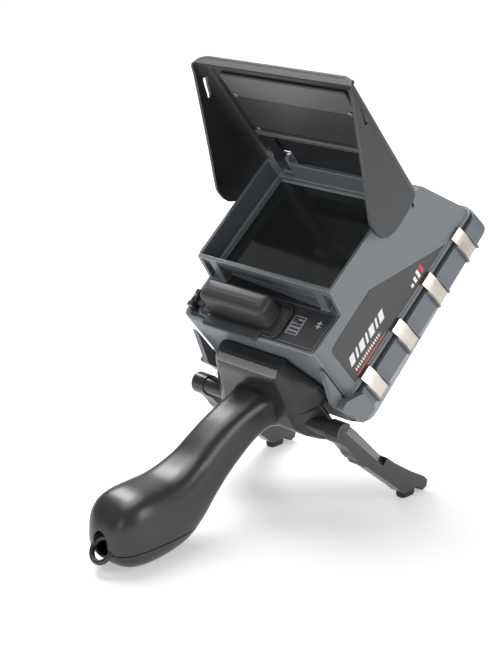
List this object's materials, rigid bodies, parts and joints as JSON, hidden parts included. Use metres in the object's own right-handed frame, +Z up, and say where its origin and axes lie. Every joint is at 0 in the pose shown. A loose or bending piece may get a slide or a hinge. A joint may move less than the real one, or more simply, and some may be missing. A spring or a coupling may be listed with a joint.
{
  "type": "drain inspection camera monitor",
  "caption": "Tilted screen monitor on a pistol handle and folding rear legs, with a hinged sunshade, hinged port cover, seam clips and a slide-out battery.",
  "frame": {"origin": "on the floor, in the middle of the model's box seen from above", "axes": "+Z up, the screen faces forwards and up towards -Y, the handle points to -Y, the legs to +Y, +X to the right as seen from the front"},
  "size_m": [0.161, 0.3542, 0.3446],
  "materials": {
    "slate_plastic": "fine-grained moulded satin",
    "black_plastic": "moulded satin",
    "charcoal_plastic": "moulded satin",
    "clip_nickel": "satin nickel plate",
    "side_label": null,
    "control_label": null,
    "grille_plastic": "satin",
    "soft_rubber": "matt",
    "cover_rubber": "matt moulded",
    "plate_grey": "matt sheet",
    "screen_glass": "polished",
    "dark_module": "matt",
    "circuit_board": "coated",
    "steel": "brushed"
  },
  "bodies": {
    "housing": {"front_shell": "slate_plastic", "back_cover": "slate_plastic", "seam_gasket": "soft_rubber", "seam_clip_right_1": "clip_nickel", "seam_clip_right_2": "clip_nickel", "seam_clip_right_3": "clip_nickel", "seam_clip_right_4": "clip_nickel", "seam_clip_left_1": "clip_nickel", "seam_clip_left_2": "clip_nickel", "seam_clip_left_3": "clip_nickel", "seam_clip_left_4": "clip_nickel", "side_label_right": "side_label", "side_label_left": "side_label", "display_bezel": "slate_plastic", "display_window": "screen_glass", "lcd_panel": "dark_module", "main_board": "circuit_board", "control_label": "control_label", "speaker_grille": "grille_plastic", "speaker": "dark_module", "usb_socket": "steel", "port_cover_anchor": "black_plastic", "port_cover_pin": "steel", "hinge_pin_right": "steel", "hinge_pin_left": "steel", "camera_socket": "steel", "dock_hood": "charcoal_plastic", "handle_upper_shell": "charcoal_plastic", "handle_lower_shell": "charcoal_plastic", "lanyard_loop": "charcoal_plastic", "leg_barrel": "charcoal_plastic", "leg_pin_right": "charcoal_plastic", "leg_pin_left": "charcoal_plastic"},
    "sunshade": {"sunshade": "black_plastic", "sunshade_plate": "plate_grey", "plate_screw_1": "steel", "plate_screw_2": "steel", "plate_screw_3": "steel", "plate_screw_4": "steel", "hinge_arm_right": "black_plastic", "hinge_arm_left": "black_plastic"},
    "port_cover": {"port_cover": "cover_rubber"},
    "power_button": {"power_button": "soft_rubber"},
    "record_button": {"record_button": "soft_rubber"},
    "menu_button": {"menu_button": "soft_rubber"},
    "battery": {"battery_pack": "charcoal_plastic"},
    "battery_latch": {"battery_latch": "black_plastic"},
    "leg_right": {"leg_right": "charcoal_plastic", "foot_pad_right": "soft_rubber"},
    "leg_left": {"leg_left": "charcoal_plastic", "foot_pad_left": "soft_rubber"}
  },
  "joints": [
    {"name": "sunshade_hinge", "type": "hinge", "parent": "housing", "child": "sunshade", "pos_m": [0, 0.07359, 0.2589], "axis": [1, 0, 0], "range_deg": [0, 90]},
    {"name": "port_cover_hinge", "type": "hinge", "parent": "housing", "child": "port_cover", "pos_m": [-0.063, -0.01473, 0.15803], "axis": [0, -0.766, -0.6428], "range_deg": [0, 100]},
    {"name": "leg_right_fold", "type": "hinge", "parent": "housing", "child": "leg_right", "pos_m": [0.0725, 0.00124, 0.0805], "axis": [-1, 0, 0], "range_deg": [0, 105]},
    {"name": "leg_left_fold", "type": "hinge", "parent": "housing", "child": "leg_left", "pos_m": [-0.0725, 0.00124, 0.0805], "axis": [-1, 0, 0], "range_deg": [0, 105]},
    {"name": "battery_slide", "type": "slide", "parent": "housing", "child": "battery", "axis": [0, 0.6428, -0.766], "range_m": [0, 0.04]},
    {"name": "battery_latch_press", "type": "slide", "parent": "housing", "child": "battery_latch", "axis": [0, -0.6428, 0.766], "range_m": [0, 0.0015], "stiffness_N_per_m": 300},
    {"name": "power_button_press", "type": "slide", "parent": "housing", "child": "power_button", "axis": [0, 0.6428, -0.766], "range_m": [0, 0.0015], "stiffness_N_per_m": 300},
    {"name": "record_button_press", "type": "slide", "parent": "housing", "child": "record_button", "axis": [0, 0.6428, -0.766], "range_m": [0, 0.0015], "stiffness_N_per_m": 300},
    {"name": "menu_button_press", "type": "slide", "parent": "housing", "child": "menu_button", "axis": [0, 0.6428, -0.766], "range_m": [0, 0.0015], "stiffness_N_per_m": 300}
  ]
}
